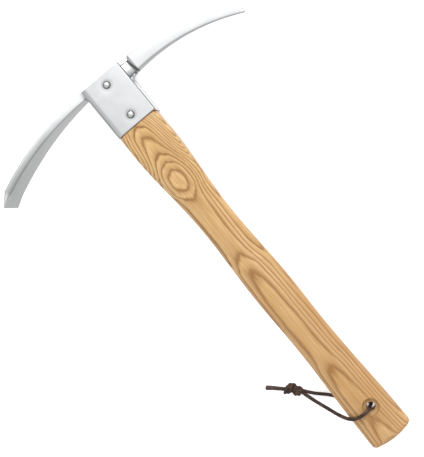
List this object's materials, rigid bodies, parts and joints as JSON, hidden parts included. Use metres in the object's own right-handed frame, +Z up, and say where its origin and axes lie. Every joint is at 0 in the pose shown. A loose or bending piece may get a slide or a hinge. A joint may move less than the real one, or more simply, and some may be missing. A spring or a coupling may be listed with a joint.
{
  "type": "hand pick mattock",
  "caption": "Short hand pick mattock with a flared blade and a tapered pick on a riveted steel socket, an ash handle and a leather hanging thong.",
  "frame": {"origin": "Middle of the bottom of the box that holds the resting tool without its thong, on the ground it lies on.", "axes": "+X along the handle from the head to the butt, +Y towards the pick, +Z up. The tool lies on its side, rolled about +X by about two degrees, because it rests on the side of its flared blade, on the rivet heads and on the thong under its butt."},
  "size_m": [0.4076, 0.2747, 0.0444],
  "materials": {
    "ash": "oiled satin ash with darker open grain",
    "polished_steel": "polished stainless steel with a soft brushed haze",
    "weld_steel": "ground and polished weld metal",
    "lace_leather": "dark brown waxed leather lace"
  },
  "bodies": {
    "root": {"handle": "ash", "socket_wrap": "polished_steel", "socket_side_plate": "polished_steel", "rivets": "polished_steel", "mattock_blade": "polished_steel", "blade_weld": "weld_steel", "pick": "polished_steel", "pick_weld": "weld_steel", "thong_upper_strand": "lace_leather", "thong_lower_strand": "lace_leather", "thong_knot": "lace_leather", "thong_tails": "lace_leather"}
  },
  "joints": []
}
